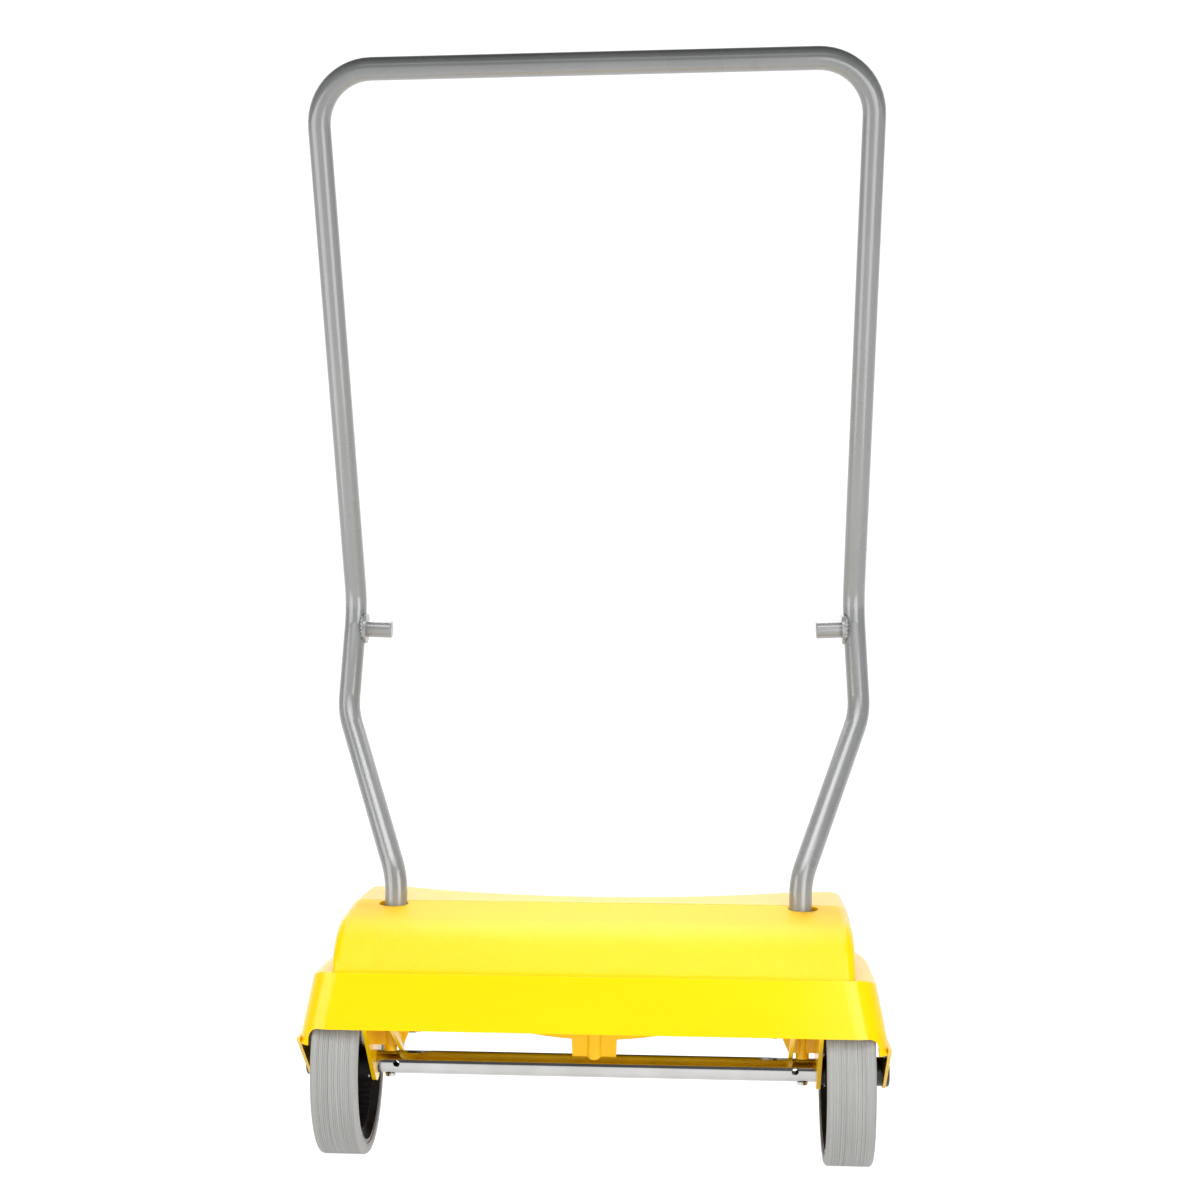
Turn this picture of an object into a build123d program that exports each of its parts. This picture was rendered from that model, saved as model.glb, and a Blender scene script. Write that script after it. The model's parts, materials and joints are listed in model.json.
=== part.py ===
from build123d import *
import math
import os

# Push carpet sweeper: a yellow moulded housing on a two-wheel axle with a tall
# U handle. Millimetres, +Z up, +Y is the travel direction, X across the machine.
# Everything is drawn with the axle centre over Y = 0 and moved once on export,
# so that the origin is the centre of the footprint on the floor.

# ---- wheels and axle
WHEEL_DIAMETER = 175.0
TYRE_WIDTH = 44.5
TYRE_DEPTH = 10.0
WHEEL_TRACK = 476.5
AXLE_DIAMETER = 22.0
AXLE_WALL = 1.8
HUB_WALL = 2.5
BUSH_WALL = 2.0
RIM_WEB = 4.0
SPACER_WALL = 2.5
TYRE_SHOULDER = 4.0
RIM_RECESS = 10.0
RIM_SPOKES = 8
RIM_SPOKE_SET = 4.0

# ---- housing
WALL = 3.0
BODY_WIDTH = 486.0
DECK_HEIGHT = 236.0
DECK_SLOPE_RISE = 6.0
DECK_FLAT_Y = 51.0
PANEL_KNEE_Y = -15.0
PANEL_FOOT_Y = -75.0
FLARE_TOP = 186.0
FLARE_BOTTOM = 118.0
FLARE_WIDTH_BOTTOM = 549.0
FLARE_WIDTH_TOP = 522.0
FLARE_REAR_BOTTOM = -87.0
FLARE_REAR_TOP = -79.0
FLARE_FRONT = 102.0
FLARE_CORNER = 30.0
FLARE_SHOULDER = 28.0
SKIRT_HEIGHT = 134.0
SKIRT_ARCH_WIDTH = 526.0
SKIRT_ARCH_RADIUS = 10.0
HORN_FRONT = 152.0
HORN_INNER = 199.0
HORN_CORNER = 16.0
HORN_WALL_REAR = 62.0
DECK_MID_Y = 94.0
DECK_ARC_RADIUS = 380.0
DECK_EDGE_RADIUS = 9.0
GROOVE_WIDTH = 2.0
GROOVE_DEPTH = 1.0
OUTER_CHEEK_TIP = 15.5
INNER_CHEEK_X = 211.5
INNER_CHEEK_THICKNESS = 4.0
INNER_CHEEK_TIP = 18.0
RIB_X = 186.0
RIB_THICKNESS = 4.0
WEB_Y = -5.0
WEB_THICKNESS = 3.0
WEB_CLEAR_OVER_AXLE = 6.0
GUSSET_WIDTH = 13.0
BOSS_X = 197.0
BOSS_DIAMETER = 12.4
SADDLE_WIDTH = 45.0
SADDLE_BOSS_DIAMETER = 17.0
SADDLE_TAPER = 2.0
WEB_ARCH_RADIUS = 376.0
WEB_ARCH_BOTTOM = 113.0

# ---- handle
TUBE_DIAMETER = 22.0
TUBE_WALL = 1.6
SOCKET_X = 197.0
SOCKET_Y = 38.0
SOCKET_BOTTOM = 155.0
SOCKET_WALL = 4.0
SOCKET_SLOT = 5.0
LOWER_BEND = (197.0, 38.0, 262.0)
MIDDLE_BEND = (259.0, 124.0, 419.0)
UPPER_BEND = (255.0, 153.0, 527.0)
TOP_CORNER = (264.0, -38.0, 1037.0)
LOWER_BEND_RADIUS = 48.0
MIDDLE_BEND_RADIUS = 70.0
UPPER_BEND_RADIUS = 65.0
TOP_CORNER_RADIUS = 53.0
PEG_DIAMETER = 17.5
PEG_SPIGOT_DIAMETER = 13.0
PEG_HEIGHT = 504.0
PEG_END_X = 217.0
PEG_FLANGE_DIAMETER = 31.0
PEG_FLANGE_THICKNESS = 3.0
PEG_WELD_DIAMETER = 24.0
PEG_FLANGE_OFFSET = 2.0
PEG_EDGE_RADIUS = 1.5

# ---- brush drive
GEAR_MODULE = 2.0
RING_TEETH = 66
PINION_TEETH = 24
GEAR_WIDTH = 14.0
TOOTH_SHARE = 0.40
TOOTH_HEIGHT = 0.75
TOOTH_DEPTH = 1.05
PIVOT_Y = 19.0
SHAFT_DIAMETER = 12.0
BEARING_OD = 19.0
BEARING_FLANGE = 1.5
DRIVE_PULLEY_DIAMETER = 21.0
BRUSH_PULLEY_DIAMETER = 16.0
BELT_WIDTH = 6.0
BELT_THICKNESS = 2.2
RUN_CLEARANCE = 0.05
FREE_CLEARANCE = 0.3

# ---- swinging brush head, drawn lowered and then raised
LIFT_ANGLE = 58.2
ARM_LENGTH = 112.0
ARM_X = 172.0
ARM_THICKNESS = 4.0
ARM_END_RADIUS = 12.5
BRUSH_DIAMETER = 72.0
BRUSH_FLOOR_GAP = 0.5
BRUSH_CORE_DIAMETER = 28.0
BRUSH_SHAFT_DIAMETER = 8.0
BRUSH_HALF_LENGTH = 162.0
BRISTLE_ROWS = 6
BRISTLE_ROW_THICKNESS = 6.0
BRISTLE_END = 2.0
COVER_RADIUS = 40.0
COVER_THICKNESS = 2.5
COVER_REAR_ANGLE = 195.0
COVER_FRONT_ANGLE = 72.0
PAN_BRUSH_GAP = 4.3
PAN_DEPTH = 44.0
PAN_BOTTOM = 6.0
PAN_TOP = 48.0
PAN_REAR_TOP = 40.0
PAN_WALL = 2.0
FLAP_THICKNESS = 2.0
FLAP_PIN_DIAMETER = 4.0
FLAP_KNUCKLE = 4.5
FLAP_SIDE_GAP = 2.0
COVER_BOSS = 10.0
PAN_KNUCKLES = ((-140.0, -100.5), (-24.5, 24.5), (100.5, 140.0))
FLAP_KNUCKLES = ((-100.0, -25.0), (25.0, 100.0))
ARM_TOE_RADIUS = 9.0

# ---- front hood and rollers
HOOD_HALF_WIDTH = 192.0
HOOD_SHOULDER_Y = 150.0
HOOD_SHOULDER_Z = 226.0
HOOD_REAR_Z = 234.5
HOOD_FRONT = 222.0
HOOD_BOTTOM = 168.0
HOOD_GAP = 0.8
HOOD_TONGUE = 16.0
TONGUE_THICKNESS = 2.5
HOOD_SIDE_BOTTOM = 140.0
HOOD_SIDE_Y = 168.0
ROLLER_DIAMETER = 60.0
ROLLER_WIDTH = 15.0
ROLLER_TREAD = 5.0
ROLLER_X = 245.0
ROLLER_Y = 143.0
ROLLER_PIN_DIAMETER = 8.0
FORK_PLATE = 2.5
FORK_SIDE_GAP = 1.5
FORK_DEPTH = 34.0
ROLLER_DISH = 3.0
POD_BOTTOM = 104.0
POD_TOP = 150.0
POD_SIDE_GAP = 1.5

# ---- fasteners
AXLE_SCREW_GRIP = 32.0
HANDLE_SCREW_Z = 178.0
BRACKET_BOLT_PITCH = 16.0
BRACKET_BOLT_Z = 120.0
BRACKET_BOLT_DIAMETER = 6.0
HEAD_SCREW_LENGTH = 10.0
HOOD_SCREW_X = 150.0
CAP_PLUG = 12.0
NUT_ACROSS = 19.0
NUT_HEIGHT = 6.0
WASHER_THICKNESS = 1.2
PIN_HEAD = 1.5
SHAFT_TAIL = 4.0
AXLE_SCREW_DIAMETER = 6.0
CROSS_HOLE_DIAMETER = 6.5
CROSS_HOLE_X = 190.0
HANDLE_SCREW_DIAMETER = 6.0
SMALL_SCREW_DIAMETER = 5.0
CAP_DIAMETER = 28.0
CAP_THICKNESS = 3.5

# ---- places worked out from the sizes above
AXLE_Z = WHEEL_DIAMETER / 2
AXLE_RADIUS = AXLE_DIAMETER / 2
TUBE_RADIUS = TUBE_DIAMETER / 2
BODY_HALF = BODY_WIDTH / 2
LEG_RISE = UPPER_BEND[2] - MIDDLE_BEND[2]
PEG_TILT = math.degrees(math.atan2(UPPER_BEND[0] - MIDDLE_BEND[0], LEG_RISE))
WHEEL_X = WHEEL_TRACK / 2
TYRE_INNER_X = WHEEL_X - TYRE_WIDTH / 2
TYRE_OUTER_X = WHEEL_X + TYRE_WIDTH / 2
RIM_OUTER_R = WHEEL_DIAMETER / 2 - TYRE_DEPTH
HUB_RADIUS = AXLE_RADIUS + BUSH_WALL + HUB_WALL
CHEEK_OUTER_X = FLARE_WIDTH_BOTTOM / 2
CHEEK_INNER_X = CHEEK_OUTER_X - WALL
RING_PITCH_R = GEAR_MODULE * RING_TEETH / 2
PINION_PITCH_R = GEAR_MODULE * PINION_TEETH / 2
GEAR_CENTRES = RING_PITCH_R - PINION_PITCH_R
PIVOT_Z = AXLE_Z + math.sqrt(GEAR_CENTRES ** 2 - PIVOT_Y ** 2)
MESH_ANGLE = math.degrees(math.atan2(PIVOT_Z - AXLE_Z, PIVOT_Y))
SHAFT_RADIUS = SHAFT_DIAMETER / 2
BRUSH_RADIUS = BRUSH_DIAMETER / 2
BRUSH_Z = BRUSH_RADIUS + BRUSH_FLOOR_GAP
BRUSH_Y = PIVOT_Y + math.sqrt(ARM_LENGTH ** 2 - (PIVOT_Z - BRUSH_Z) ** 2)
PAN_REAR = BRUSH_Y + BRUSH_RADIUS + PAN_BRUSH_GAP
PAN_FRONT = PAN_REAR + PAN_DEPTH
ARM_INNER_X = ARM_X - ARM_THICKNESS / 2
ARM_OUTER_X = ARM_X + ARM_THICKNESS / 2
RIB_INNER_X = RIB_X - RIB_THICKNESS / 2
RIB_OUTER_X = RIB_X + RIB_THICKNESS / 2
CHEEK_FACE_X = INNER_CHEEK_X + INNER_CHEEK_THICKNESS / 2
BELT_INNER_X = (ARM_OUTER_X + RIB_INNER_X - BELT_WIDTH) / 2
BELT_OUTER_X = BELT_INNER_X + BELT_WIDTH
GEAR_INNER_X = TYRE_INNER_X + 10.0
GEAR_OUTER_X = GEAR_INNER_X + GEAR_WIDTH
HUB_INNER_X = TYRE_INNER_X + 1.5
HUB_OUTER_X = TYRE_OUTER_X - 3.5
FORK_HALF = ROLLER_WIDTH / 2 + FORK_SIDE_GAP + FORK_PLATE
POD_INNER_X = ROLLER_X - FORK_HALF - POD_SIDE_GAP
POD_OUTER_X = ROLLER_X + FORK_HALF + POD_SIDE_GAP
POD_REAR_Y = ROLLER_Y - FORK_DEPTH / 2 - POD_SIDE_GAP
POD_FRONT_Y = ROLLER_Y + FORK_DEPTH / 2 + POD_SIDE_GAP
ROLLER_Z = ROLLER_DIAMETER / 2
DECK_ARC_CENTRE_Y = DECK_MID_Y + DECK_ARC_RADIUS
NUT_INNER_X = ARM_INNER_X - BEARING_FLANGE - FREE_CLEARANCE - 2 * WASHER_THICKNESS - NUT_HEIGHT
HOOD_SCREW_TOP = DECK_HEIGHT - 1.0
HOOD_SCREW_BOTTOM = DECK_HEIGHT - WALL - TONGUE_THICKNESS
FLAP_TOP = PAN_BOTTOM - FREE_CLEARANCE
FOOTPRINT_REAR = -WHEEL_DIAMETER / 2
FOOTPRINT_CENTRE = (HOOD_FRONT + FOOTPRINT_REAR) / 2


# ---- small helpers
def block(x0, x1, y0, y1, z0, z1):
    centre = Pos((x0 + x1) / 2, (y0 + y1) / 2, (z0 + z1) / 2)
    return centre * Box(abs(x1 - x0), abs(y1 - y0), abs(z1 - z0))


def rod_x(x0, x1, radius, y, z):
    return Pos((x0 + x1) / 2, y, z) * Rot(0, 90, 0) * Cylinder(radius, abs(x1 - x0))


def rod_y(y0, y1, radius, x, z):
    return Pos(x, (y0 + y1) / 2, z) * Rot(90, 0, 0) * Cylinder(radius, abs(y1 - y0))


def rod_z(z0, z1, radius, x, y):
    return Pos(x, y, (z0 + z1) / 2) * Cylinder(radius, abs(z1 - z0))


def ring_x(x0, x1, outer, inner, y, z):
    return rod_x(x0, x1, outer, y, z) - rod_x(x0 - 1, x1 + 1, inner, y, z)


def plate_x(sketch, x0, x1):
    """Extrude a (Y, Z) sketch from x0 to x1."""
    return extrude(Plane.YZ.offset(min(x0, x1)) * sketch, amount=abs(x1 - x0))


def link(start, start_radius, end, end_radius):
    """Rounded link outline round two centres."""
    ends = Pos(*start) * Circle(start_radius) + Pos(*end) * Circle(end_radius)
    return make_hull(ends.edges())


def outline(*points):
    return make_face(Polyline(*points, close=True))


def both_sides(solid):
    return solid + mirror(solid, about=Plane.YZ)


def side(sign, solid):
    """The drawn side is +X; sign -1 gives its mirror image."""
    return solid if sign > 0 else mirror(solid, about=Plane.YZ)


def raised(solid):
    """Turn a brush head piece from its lowered to its raised position."""
    to_pivot = Pos(0, PIVOT_Y, PIVOT_Z)
    return to_pivot * Rot(LIFT_ANGLE, 0, 0) * to_pivot.inverse() * solid


# ---- housing
def body_profile(bottom):
    """Side view of the middle of the housing: panel, sloping top and flat deck."""
    knee = (PANEL_KNEE_Y, DECK_HEIGHT - DECK_SLOPE_RISE)
    foot = (PANEL_FOOT_Y, FLARE_TOP)
    slope = (PANEL_KNEE_Y - DECK_FLAT_Y, -DECK_SLOPE_RISE)
    lines = [
        Line((PANEL_FOOT_Y, bottom), foot),
        TangentArc(knee, foot, tangent=slope),
        Line(knee, (DECK_FLAT_Y, DECK_HEIGHT)),
        Line((DECK_FLAT_Y, DECK_HEIGHT), (HORN_FRONT, DECK_HEIGHT)),
        Line((HORN_FRONT, DECK_HEIGHT), (HORN_FRONT, bottom)),
        Line((HORN_FRONT, bottom), (PANEL_FOOT_Y, bottom)),
    ]
    return make_face(lines)


def middle_body():
    body = plate_x(body_profile(FLARE_BOTTOM), -BODY_HALF, BODY_HALF)
    rims = [edge for edge in body.edges() if is_side_rim(edge)]
    return fillet(rims, DECK_EDGE_RADIUS) & plan_limit(0)


def is_side_rim(edge):
    """Edges of the two side faces, apart from the bottom and the front."""
    box = edge.bounding_box()
    on_side = box.size.X < 0.01
    at_bottom = box.max.Z < FLARE_BOTTOM + 0.01
    at_front = box.min.Y > HORN_FRONT - 0.01
    return on_side and not at_bottom and not at_front


def plan_limit(inset):
    """Prism with the housing's rounded front corners."""
    corner = HORN_CORNER - inset
    width = BODY_WIDTH - 2 * inset
    depth = 3 * HORN_FRONT
    plan = Pos(0, HORN_FRONT - inset - depth / 2) * RectangleRounded(width, depth, corner)
    return extrude(plan, amount=2 * DECK_HEIGHT)


def middle_cavity():
    profile = offset(body_profile(FLARE_BOTTOM - 4 * WALL), amount=-WALL)
    cavity = plate_x(profile, WALL - BODY_HALF, BODY_HALF - WALL)
    return cavity & plan_limit(WALL)


def flare_ring(z, inset):
    """Plan outline of the flared lower body at one height."""
    share = (z - FLARE_BOTTOM) / (FLARE_TOP - FLARE_BOTTOM)
    width = FLARE_WIDTH_BOTTOM + share * (FLARE_WIDTH_TOP - FLARE_WIDTH_BOTTOM)
    rear = FLARE_REAR_BOTTOM + share * (FLARE_REAR_TOP - FLARE_REAR_BOTTOM)
    depth = FLARE_FRONT - rear
    middle = (FLARE_FRONT + rear) / 2
    shape = RectangleRounded(width - 2 * inset, depth - 2 * inset, FLARE_CORNER - inset)
    return Plane.XY.offset(z) * Pos(0, middle) * shape


def flare_section(bottom, inset):
    """Front view of the flared lower body, with rounded shoulders."""
    top = FLARE_TOP - inset
    half = FLARE_WIDTH_BOTTOM / 2 - inset
    height = top - bottom
    box = Pos(0, bottom + height / 2) * Rectangle(2 * half, height)
    shoulders = box.vertices().group_by(Axis.Y)[-1]
    return fillet(shoulders, FLARE_SHOULDER + WALL - inset)


def flare_body(inset):
    bottom = FLARE_BOTTOM if inset == 0 else FLARE_BOTTOM - 4 * WALL
    drafted = loft([flare_ring(bottom, inset), flare_ring(FLARE_TOP - inset, inset)])
    reach = 2 * (FLARE_FRONT - FLARE_REAR_BOTTOM)
    section = Plane.XZ * flare_section(bottom, inset)
    return drafted & extrude(section, amount=reach, both=True)


def cheek_outline(rear, front, top, tip_radius):
    """V-shaped plate from the housing down round the axle."""
    upper = Polyline((rear, top), (front, top))
    tip = Pos(0, AXLE_Z) * Circle(tip_radius)
    return make_hull(upper.edges() + tip.edges())


def boss_wall(x0, x1, inner_foot):
    """Cross wall behind the screw bosses, with a tapered inner edge."""
    bottom = AXLE_Z + AXLE_RADIUS + WEB_CLEAR_OVER_AXLE
    face = outline((x1, bottom), (x1, DECK_HEIGHT), (x0, DECK_HEIGHT),
                   (x0, SKIRT_HEIGHT), (inner_foot, bottom))
    return extrude(Plane.XZ.offset(-WEB_Y) * face, amount=-WEB_THICKNESS)


def side_structure():
    """Ribs, cheeks, bosses, socket and pod of the +X side, uncut."""
    axle_top = AXLE_Z + AXLE_RADIUS
    parts = plate_x(cheek_outline(PANEL_FOOT_Y, 40.0, SKIRT_HEIGHT, INNER_CHEEK_TIP),
                    INNER_CHEEK_X - INNER_CHEEK_THICKNESS / 2, CHEEK_FACE_X)
    parts += block(INNER_CHEEK_X - INNER_CHEEK_THICKNESS / 2, CHEEK_FACE_X,
                   PANEL_FOOT_Y, 40.0, SKIRT_HEIGHT, DECK_HEIGHT)
    rib = outline((PANEL_FOOT_Y, SKIRT_HEIGHT), (-2.0, axle_top), (2.0, axle_top),
                  (40.0, SKIRT_HEIGHT), (40.0, DECK_HEIGHT), (PANEL_FOOT_Y, DECK_HEIGHT))
    parts += plate_x(rib, RIB_INNER_X, RIB_OUTER_X)
    parts += boss_wall(RIB_INNER_X - GUSSET_WIDTH, CHEEK_FACE_X, RIB_INNER_X)
    parts += rod_z(axle_top, DECK_HEIGHT, BOSS_DIAMETER / 2, BOSS_X, 0)
    socket_radius = TUBE_RADIUS + SOCKET_WALL
    parts += rod_z(SOCKET_BOTTOM, DECK_HEIGHT, socket_radius, SOCKET_X, SOCKET_Y)
    parts += block(HORN_INNER - WALL, HORN_INNER, HORN_WALL_REAR, HORN_FRONT,
                   SKIRT_HEIGHT, DECK_HEIGHT)
    return parts


def saddle():
    """Box in the middle of the housing that stands on the axle."""
    foot = SADDLE_WIDTH / 2 - SADDLE_TAPER
    half = SADDLE_WIDTH / 2
    face = outline((-foot, AXLE_Z), (foot, AXLE_Z), (half, SKIRT_HEIGHT), (half, DECK_HEIGHT),
                   (-half, DECK_HEIGHT), (-half, SKIRT_HEIGHT))
    arch = Pos(0, WEB_ARCH_BOTTOM + WEB_ARCH_RADIUS) * Circle(WEB_ARCH_RADIUS)
    web = Pos(0, (SKIRT_HEIGHT + WEB_ARCH_BOTTOM) / 2)
    web *= Rectangle(6 * SADDLE_WIDTH, SKIRT_HEIGHT - WEB_ARCH_BOTTOM)
    wall = extrude(Plane.XZ.offset(-WEB_Y) * (face + (web & arch)), amount=-WEB_THICKNESS)
    cheek = outline((WEB_Y, AXLE_Z), (AXLE_RADIUS, AXLE_Z), (30.0, SKIRT_HEIGHT),
                    (30.0, DECK_HEIGHT), (WEB_Y, DECK_HEIGHT))
    box = wall + both_sides(plate_x(cheek, foot - WALL, foot))
    box += rod_z(AXLE_Z, DECK_HEIGHT, SADDLE_BOSS_DIAMETER / 2, 0, 0)
    return box


def roller_pod():
    """Socket in the front corner that holds one roller bracket."""
    return block(POD_INNER_X - WALL, POD_OUTER_X + WALL, POD_REAR_Y - WALL,
                 POD_FRONT_Y + WALL, POD_BOTTOM, POD_TOP)


def outer_cheek():
    face = cheek_outline(-78.0, 74.0, FLARE_BOTTOM + 6.0, OUTER_CHEEK_TIP)
    return plate_x(face, CHEEK_INNER_X, CHEEK_OUTER_X)


def deck_arc_cut():
    """Concave front edge of the deck between the two horns."""
    reach = rod_z(0, 2 * DECK_HEIGHT, DECK_ARC_RADIUS, 0, DECK_ARC_CENTRE_Y)
    return reach & block(-HORN_INNER, HORN_INNER, 0, HORN_FRONT + 5, 0, 2 * DECK_HEIGHT)


def deck_groove():
    """Shallow groove that parts the grained top panel from the smooth front deck."""
    half = BODY_HALF - DECK_EDGE_RADIUS - 2.0
    bottom = DECK_HEIGHT - GROOVE_DEPTH
    return block(-half, half, DECK_FLAT_Y, DECK_FLAT_Y + GROOVE_WIDTH,
                 bottom, DECK_HEIGHT + 1)


def side_cuts():
    """Bores, slots and clearances of the +X side."""
    axle_top = AXLE_Z + AXLE_RADIUS
    bearing_radius = BEARING_OD / 2
    cuts = rod_x(-1, FLARE_WIDTH_BOTTOM, AXLE_RADIUS, 0, AXLE_Z)
    cuts += rod_x(RIB_INNER_X - 1, CHEEK_FACE_X + 1, bearing_radius, PIVOT_Y, PIVOT_Z)
    cuts += rod_z(SOCKET_BOTTOM - 1, DECK_HEIGHT + 1, TUBE_RADIUS, SOCKET_X, SOCKET_Y)
    slot = SlotCenterToCenter(SOCKET_SLOT, TUBE_DIAMETER + 2.0)
    slot_centre = Pos(SOCKET_X + SOCKET_SLOT / 2, SOCKET_Y)
    slot_floor = Plane.XY.offset(DECK_HEIGHT - 2 * WALL)
    cuts += extrude(slot_floor * slot_centre * slot, amount=4 * WALL)
    cuts += rod_z(axle_top - 1, axle_top + AXLE_SCREW_GRIP, AXLE_SCREW_DIAMETER / 2,
                  BOSS_X, 0)
    cuts += rod_y(SOCKET_Y, SOCKET_Y + 30, HANDLE_SCREW_DIAMETER / 2, SOCKET_X,
                  HANDLE_SCREW_Z)
    cuts += block(POD_INNER_X, POD_OUTER_X, POD_REAR_Y, POD_FRONT_Y, POD_BOTTOM - 1,
                  POD_TOP - WALL)
    return cuts + bracket_bolt_shanks()


def bracket_bolt_shanks():
    """The two bolts that cross one pod and its bracket, without heads."""
    inner = POD_INNER_X - WALL
    outer = POD_OUTER_X + WALL
    shanks = None
    for y in (ROLLER_Y - BRACKET_BOLT_PITCH / 2, ROLLER_Y + BRACKET_BOLT_PITCH / 2):
        shank = rod_x(inner, outer, BRACKET_BOLT_DIAMETER / 2, y, BRACKET_BOLT_Z)
        shanks = shank if shanks is None else shanks + shank
    return shanks


def skirt_arch():
    """Space below the skirt between the two outer cheeks."""
    height = SKIRT_HEIGHT - (FLARE_BOTTOM - 4 * WALL)
    centre_z = SKIRT_HEIGHT - height / 2
    box = Pos(0, centre_z) * Rectangle(SKIRT_ARCH_WIDTH, height)
    arch = fillet(box.vertices().group_by(Axis.Y)[-1], SKIRT_ARCH_RADIUS)
    return extrude(Plane.XZ * arch, amount=2 * HORN_FRONT, both=True)


def housing_shell():
    outside = middle_body() + flare_body(0)
    cavity = middle_cavity() + flare_body(WALL)
    shell = outside - cavity - skirt_arch()
    inside = both_sides(side_structure())
    inside += saddle()
    low = block(-BODY_WIDTH, BODY_WIDTH, -2 * HORN_FRONT, 2 * HORN_FRONT, 0, SKIRT_HEIGHT)
    allowed = outside + low
    shell += inside & allowed
    shell += both_sides(outer_cheek() + roller_pod())
    shell -= deck_arc_cut()
    shell -= deck_groove()
    shell -= both_sides(side_cuts())
    for x, y in hood_screw_places():
        shell -= rod_z(HOOD_SCREW_BOTTOM, HOOD_SCREW_TOP, SMALL_SCREW_DIAMETER / 2, x, y)
    return shell


def deck_edge_y(x):
    return DECK_ARC_CENTRE_Y - math.sqrt(DECK_ARC_RADIUS ** 2 - x ** 2)


def hood_screw_places():
    rows = (-HOOD_SCREW_X, -HOOD_SCREW_X / 3, HOOD_SCREW_X / 3, HOOD_SCREW_X)
    return [(x, deck_edge_y(x) - HOOD_TONGUE / 2) for x in rows]


# ---- front hood
def hood_profile(inset):
    """Side view of the hood before its lower edge is trimmed."""
    front = HOOD_FRONT - inset
    rear = DECK_FLAT_Y
    shoulder = (HOOD_SHOULDER_Y, HOOD_SHOULDER_Z - inset)
    fall = (HOOD_SHOULDER_Z - HOOD_REAR_Z) / (HOOD_SHOULDER_Y - rear)
    control = (front, shoulder[1] + fall * (front - HOOD_SHOULDER_Y))
    lines = [
        Line((rear, HOOD_REAR_Z - inset), shoulder),
        Bezier(shoulder, control, (front, HOOD_BOTTOM)),
        Line((front, HOOD_BOTTOM), (front, FLARE_BOTTOM)),
        Line((front, FLARE_BOTTOM), (rear, FLARE_BOTTOM)),
        Line((rear, FLARE_BOTTOM), (rear, HOOD_REAR_Z - inset)),
    ]
    return make_face(lines)


def hood_underside():
    """Space below the hood's lower edge, which rises towards the nose."""
    beyond = HOOD_FRONT + WALL
    rise = (HOOD_BOTTOM - HOOD_SIDE_BOTTOM) / (HOOD_FRONT - HOOD_SIDE_Y)
    face = outline((0, HOOD_SIDE_BOTTOM), (HOOD_SIDE_Y, HOOD_SIDE_BOTTOM),
                   (beyond, HOOD_BOTTOM + rise * WALL), (beyond, 0), (0, 0))
    return plate_x(face, -BODY_WIDTH, BODY_WIDTH)


def front_hood():
    half = HOOD_HALF_WIDTH
    hood = plate_x(hood_profile(0), -half, half)
    hood -= plate_x(hood_profile(WALL), WALL - half, half - WALL)
    hood -= hood_underside()
    arc = rod_z(0, 2 * DECK_HEIGHT, DECK_ARC_RADIUS - HOOD_GAP, 0, DECK_ARC_CENTRE_Y)
    hood = hood & arc
    tongue_top = DECK_HEIGHT - WALL
    reach = DECK_ARC_RADIUS + HOOD_TONGUE
    tongue = rod_z(tongue_top - TONGUE_THICKNESS, tongue_top, reach, 0, DECK_ARC_CENTRE_Y)
    tongue -= rod_z(0, 2 * DECK_HEIGHT, DECK_ARC_RADIUS - 2 * WALL, 0, DECK_ARC_CENTRE_Y)
    inner = half - WALL
    tongue = tongue & block(-inner, inner, DECK_FLAT_Y, HORN_FRONT, 0, 2 * DECK_HEIGHT)
    hood += tongue
    for x, y in hood_screw_places():
        hood -= rod_z(HOOD_SCREW_BOTTOM - 4, HOOD_SCREW_TOP, SMALL_SCREW_DIAMETER / 2, x, y)
    return hood


def pan_head_screw(radius, length, head_height=3.0):
    """Screw standing on its head: head below Z = 0, shank above."""
    body = Cylinder(radius, length, align=(Align.CENTER, Align.CENTER, Align.MIN))
    head = Cylinder(1.7 * radius, head_height, align=(Align.CENTER, Align.CENTER, Align.MAX))
    head = fillet(head.edges().group_by(Axis.Z)[0], head_height * 0.5)
    return body + head


def hood_screws():
    length = HOOD_SCREW_TOP - HOOD_SCREW_BOTTOM
    screw = pan_head_screw(SMALL_SCREW_DIAMETER / 2, length)
    return Compound([Pos(x, y, HOOD_SCREW_BOTTOM) * screw for x, y in hood_screw_places()])


# ---- axle and wheels
def axle_tube():
    tube = ring_x(-CHEEK_OUTER_X, CHEEK_OUTER_X, AXLE_RADIUS, AXLE_RADIUS - AXLE_WALL,
                  0, AXLE_Z)
    for x in (-BOSS_X, BOSS_X):
        tube -= rod_z(0, 2 * AXLE_Z, AXLE_SCREW_DIAMETER / 2, x, 0)
    for x in (-CROSS_HOLE_X, CROSS_HOLE_X):
        tube -= rod_y(-2 * AXLE_RADIUS, 2 * AXLE_RADIUS, CROSS_HOLE_DIAMETER / 2, x, AXLE_Z)
    return tube


def axle_screws():
    bottom = AXLE_Z - AXLE_RADIUS
    screw = pan_head_screw(AXLE_SCREW_DIAMETER / 2, AXLE_DIAMETER + AXLE_SCREW_GRIP)
    return Compound([Pos(x, 0, bottom) * screw for x in (-BOSS_X, BOSS_X)])


def axle_end_cap(sign):
    cap = rod_x(CHEEK_OUTER_X, CHEEK_OUTER_X + CAP_THICKNESS, CAP_DIAMETER / 2, 0, AXLE_Z)
    cap = fillet(cap.edges().group_by(Axis.X)[-1], CAP_THICKNESS * 0.7)
    cap += rod_x(CHEEK_OUTER_X - CAP_PLUG, CHEEK_OUTER_X, AXLE_RADIUS - AXLE_WALL, 0, AXLE_Z)
    return side(sign, cap)


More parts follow.
